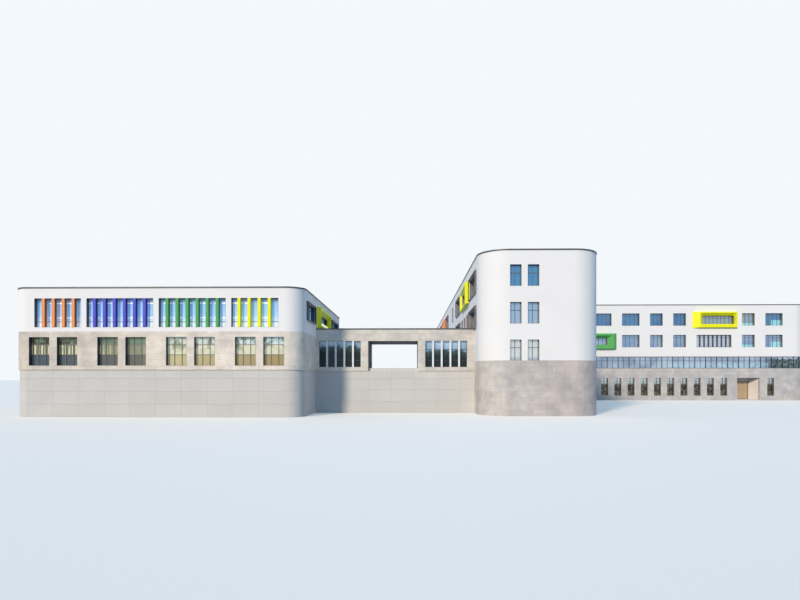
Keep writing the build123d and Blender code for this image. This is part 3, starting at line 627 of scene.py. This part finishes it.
# Far wing, ground storey: a row of narrow windows in the stone, each a dark metal frame with
# two cross bars and a paler pane at the head, and one more beside the entrance.
far_low, far_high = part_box("far_wing_stone_front_and_rear_walls")
slot_margin = 0.255
slot_pitch = 0.2193
slot_count = 15
slot_width = 0.115
last_slot = 4.4705
slot_starts = [far_low.x + slot_margin + number * slot_pitch for number in range(slot_count)]
slot_windows = [window(left, slot_width, floor=0.0, sill=0.077, head=0.37, columns=even(2),
                       rows=(0.66, 0.84)) for left in [*slot_starts, last_slot]]
slot_walls = [("front", far_low.y + wall, slot_windows), ("rear", far_high.y - wall, slot_windows)]
window_frames("slot_window_frames", slot_walls, bar=0.006, material=slate)
linings("slot_window_linings", slot_walls, bronze)

# Glazed band: the frame's main posts and rails are the part's own solids; slim bars stand
# between the posts, and a transom crosses each bay at two thirds of its height.
finish_nodes(slate, "glazed_band_straight_frames", "glazed_band_corner_frames",
             "entrance_door_frame")
band_low, band_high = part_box("glazed_band_straight_frames")
band_bays = 25
end_bays = 5
end_margin = 0.28
end_run = 0.84
transom = 0.66
bar_setback = 0.02
end_bar_setback = 0.012


def band_glass(place, x, z):
    # Painted reflections: a cloudy sky, a painted gleam low down in the middle, and dark trees at
    # the right end.
    clouds = place.noise(3.0).between(0.4, 0.65)
    sky = clouds.mix((0.29, 0.38, 0.50, 1), (0.50, 0.61, 0.73, 1))
    treetops = z - place.noise(9.0, 5.0, 0.65) * 0.2
    trees = x.between(4.4, 4.6) * (1 - (treetops > band_high.z - 0.14))
    low_middle = x.between(2.7, 3.0) * (1 - (x > 4.5)) * (1 - (z > band_low.z + 0.09))
    painted_gleam = low_middle * place.noise(22.0, 2.0).between(0.4, 0.6)
    leaves = place.noise(26.0, 4.0, 0.7).between(0.38, 0.55, 0.5, 0.95)
    bright = (painted_gleam * 0.8).mix(sky, (0.50, 0.78, 0.90, 1))
    return (trees * leaves).mix(bright, (0.02, 0.055, 0.04, 1))


glass_finish("glazed_band_panes", "glazed_band_glass", band_glass)
band_run = [window(left=far_low.x, width=far_high.x - far_low.x, floor=0.0, sill=band_low.z,
                   head=band_high.z, columns=even(2 * band_bays), rows=(transom,))]
band_end = [window(left=far_low.y + end_margin, width=end_run, floor=0.0, sill=band_low.z,
                   head=band_high.z, columns=even(2 * end_bays), rows=(transom,))]
window_frames("glazed_band_slim_bars",
              [("front", far_low.y + bar_setback, band_run),
               ("rear", far_high.y - bar_setback, band_run),
               ("right", band_high.x - end_bar_setback, band_end)], bar=0.003, material=slate)

# Far wing, white storeys: windows of several widths in rows, one broad window over the
# entrance, and the windows behind the coloured boxes, all in slim metal frames.
row_widths = (0.29, 0.21, 0.29, 0.29, 0.21, 0.21, 0.577, 0.21, 0.285)
row_bars = {0.21: (0.33, 0.66), 0.29: even(4), 0.285: even(4), 0.577: ()}
end_starts = (0.19, 0.75)
end_window = 0.21
row_margin = 0.289
row_shift = 0.094
row_count = len(row_widths)
row_pier = (far_high.x - far_low.x - 2 * row_margin - sum(row_widths)) / (row_count - 1)
row_starts = [far_low.x + row_margin + row_shift + sum(row_widths[:number]) + number * row_pier
              for number in range(row_count)]
box_pier = 0.092
box_width = 0.732
yellow_left = row_starts[7] - box_pier - box_width
green_left = row_starts[3] - box_pier - box_width
white_storeys_start = 0.6
upper_storey_start = 1.15
storey_height = floor_3 - floor_2


def white_row(floor, numbers):
    """Some of a storey's windows, numbered from the left."""
    return [storey_window(row_starts[number], row_widths[number], floor,
                          row_bars[row_widths[number]]) for number in numbers]


def far_glass(place, x, z):
    # Painted reflections: in the ground storey's slots a garden low down and pale sky at the head;
    # above, sky in two blues, with painted cyan highlights and pale patches in some windows.
    garden = place.noise(16.0, 4.0, 0.7).between(0.46, 0.56)
    dim = z.tones((0.08, (0.14, 0.13, 0.09)), (0.14, (0.035, 0.04, 0.03)),
                  (0.25, (0.04, 0.05, 0.04)), (0.28, (0.48, 0.56, 0.54)),
                  (0.37, (0.76, 0.90, 0.94)))
    slots = (garden * z.between(0.3, 0.26) * 0.6).mix(dim, (0.32, 0.28, 0.19, 1))
    upper = z > upper_storey_start
    deep = upper.mix((0.25, 0.385, 0.58, 1), (0.08, 0.205, 0.42, 1))
    lighter = upper.mix((0.39, 0.51, 0.67, 1), (0.12, 0.28, 0.49, 1))
    rows = place.noise(2.6).between(0.4, 0.65).mix(deep, lighter)
    court_height = z - upper * storey_height
    painted_upper_highlight = (x.within(row_starts[8] + 0.12, row_starts[8] + row_widths[8])
                  * (1 - (court_height > 0.98)))
    painted_lower_highlight = (x.within(row_starts[7], row_starts[7] + row_widths[7])
                 * (1 - (court_height > 0.93)))
    painted_pale_reflection = x.within(yellow_left, row_starts[7] + row_widths[7]) * upper
    over_entrance = (x.within(row_starts[6], row_starts[6] + row_widths[6])
                     * z.within(floor_2, upper_storey_start))
    rows_with_pale_reflection = (painted_pale_reflection * 0.8).mix(rows, (0.38, 0.48, 0.52, 1))
    pale = (over_entrance * 0.7).mix(rows_with_pale_reflection, (0.66, 0.71, 0.78, 1))
    mirrored = ((painted_upper_highlight + painted_lower_highlight) * 0.8).mix(pale, (0.43, 0.93, 1.0, 1))
    return (z > white_storeys_start).mix(slots, mirrored)


glass_finish("far_wing_panes", "far_wing_glass", far_glass)
box_windows = [window(left=yellow_left + 0.172, width=0.52, floor=floor_3, sill=0.083, head=0.22,
                      columns=even(8), rows=(0.7,)),
               window(left=green_left + 0.04, width=0.539, floor=floor_2, sill=0.097, head=0.211,
                      columns=even(8), rows=(0.7,))]
front_rows = [*white_row(floor_3, (0, 1, 2, 3, 4, 5, 7, 8)),
              *white_row(floor_2, (0, 3, 4, 5, 6, 7, 8))]
rear_rows = white_row(floor_3, range(row_count)) + white_row(floor_2, range(row_count))
end_rows = [storey_window(start_y, end_window, floor, row_bars[end_window])
            for floor in (floor_2, floor_3) for start_y in end_starts]
far_walls = [("front", far_low.y + wall, front_rows + box_windows),
             ("rear", far_high.y - wall, rear_rows),
             ("right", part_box("far_wing_white_end_wall")[1].x - wall, end_rows)]
window_frames("far_wing_window_frames", far_walls, bar=0.004, material=pewter)
broad_window = [(hole, even(8), ()) for hole, *bars in white_row(floor_2, (6,))]
broad_walls = [("front", far_low.y + wall, broad_window),
               ("rear", far_high.y - wall, broad_window)]
window_frames("broad_window_mullions", broad_walls, bar=0.018, material=slate, depth=0.012)
linings("far_wing_window_linings", far_walls, bronze)

# Entrance: a niche rendered in cream, with one splayed side, and a pair of oiled timber doors
# that hang on pins at their outer edges.
cream, place = new_finish("cream_render")
warm = place.noise(8.0, 4.0).between(0.3, 0.7)
coat(cream, Base_Color=warm.mix((0.67, 0.59, 0.515, 1), (0.76, 0.69, 0.63, 1)),
     Roughness=warm.between(0.0, 1.0, 0.75, 0.88), Normal=place.noise(200.0).bump(0.0004, 0.3))
finish_nodes(cream, "entrance_side_walls", "entrance_back_wall", "entrance_door_header")

timber, place = new_finish("oiled_timber")
x, y, z = axes(place)
stretched = place.node("ShaderNodeCombineXYZ", None, {0: x * 9.0, 1: y * 9.0, 2: z * 0.8})
figure = stretched.noise(22.0, 5.0, 0.6).between(0.3, 0.7)
plank_joints = x.repeat(50.0) > 0.94
planks = figure.mix((0.38, 0.265, 0.15, 1), (0.54, 0.41, 0.27, 1))
coat(timber, Base_Color=plank_joints.mix(planks, (0.16, 0.07, 0.03, 1)),
     Roughness=figure.between(0.0, 1.0, 0.4, 0.6),
     Normal=(figure * 0.3 - plank_joints).bump(0.0008, 0.5))
finish_nodes(timber, "entrance_door_left_leaf", "entrance_door_right_leaf")

# Studio: a plain pale floor of paper, one broad warm sun from the front left with a weak fill
# from the rear, and an even sky that is blue on the building and pale to the camera.
ground = bmesh.new()
bmesh.ops.create_grid(ground, x_segments=1, y_segments=1, size=150.0)
floor_mesh = bpy.data.meshes.new("studio_floor")
ground.to_mesh(floor_mesh)
ground.free()
studio_floor = bpy.data.objects.new("studio_floor", floor_mesh)
bpy.context.scene.collection.objects.link(studio_floor)


def seen_rays(start):
    """1 for what the camera sees, also in a mirror or through glass."""
    camera_ray, glossy_ray, transmission_ray = [
        start.node("ShaderNodeLightPath", output=ray)
        for ray in ("Is Camera Ray", "Is Glossy Ray", "Is Transmission Ray")]
    return start.sum("MINIMUM", camera_ray + glossy_ray + transmission_ray, 1.0)


paper, place = new_finish("pale_paper")
coat(paper, Roughness=0.9,
     Base_Color=seen_rays(place).mix((0.27, 0.30, 0.34, 1), (0.90, 0.86, 0.80, 1)))
studio_floor.data.materials.append(paper)


def studio_sun(name, energy, colour, spread, towards):
    lamp = bpy.data.objects.new(name, bpy.data.lights.new(name, "SUN"))
    lamp.data.energy = energy
    lamp.data.color = colour
    lamp.data.angle = radians(spread)
    lamp.rotation_euler = Vector(towards).to_track_quat("Z", "Y").to_euler()
    bpy.context.scene.collection.objects.link(lamp)
    return lamp


studio_sun("soft_sun", 2.95, (1.0, 0.85, 0.665), 8.0, (-0.44, -0.815, 0.42))
rear_fill = studio_sun("rear_fill", 0.9, (0.86, 0.93, 1.0), 30.0, (0.0, 0.88, 0.47))
rear_fill.data.use_shadow = False

world = bpy.data.worlds.new("pale_sky")
bpy.context.scene.world = world
world.use_nodes = True
background = world.node_tree.nodes["Background"]
sky_tone = seen_rays(Socket(world.node_tree)).mix((0.225, 0.405, 0.64, 1), (0.90, 0.94, 0.98, 1))
world.node_tree.links.new(sky_tone.output, background.inputs["Color"])
background.inputs["Strength"].default_value = 1.0

camera = bpy.data.objects.new("camera", bpy.data.cameras.new("camera"))
camera.data.lens = 25.2
camera.data.sensor_width = 36.0
camera.data.shift_y = 0.09875
camera.data.clip_end = 500.0
camera.location = (-1.4905, -9.555, 0.355)
camera.rotation_euler = (radians(90.0), 0.0, radians(0.952))
bpy.context.scene.collection.objects.link(camera)
bpy.context.scene.camera = camera
bpy.context.scene.view_settings.view_transform = "Standard"
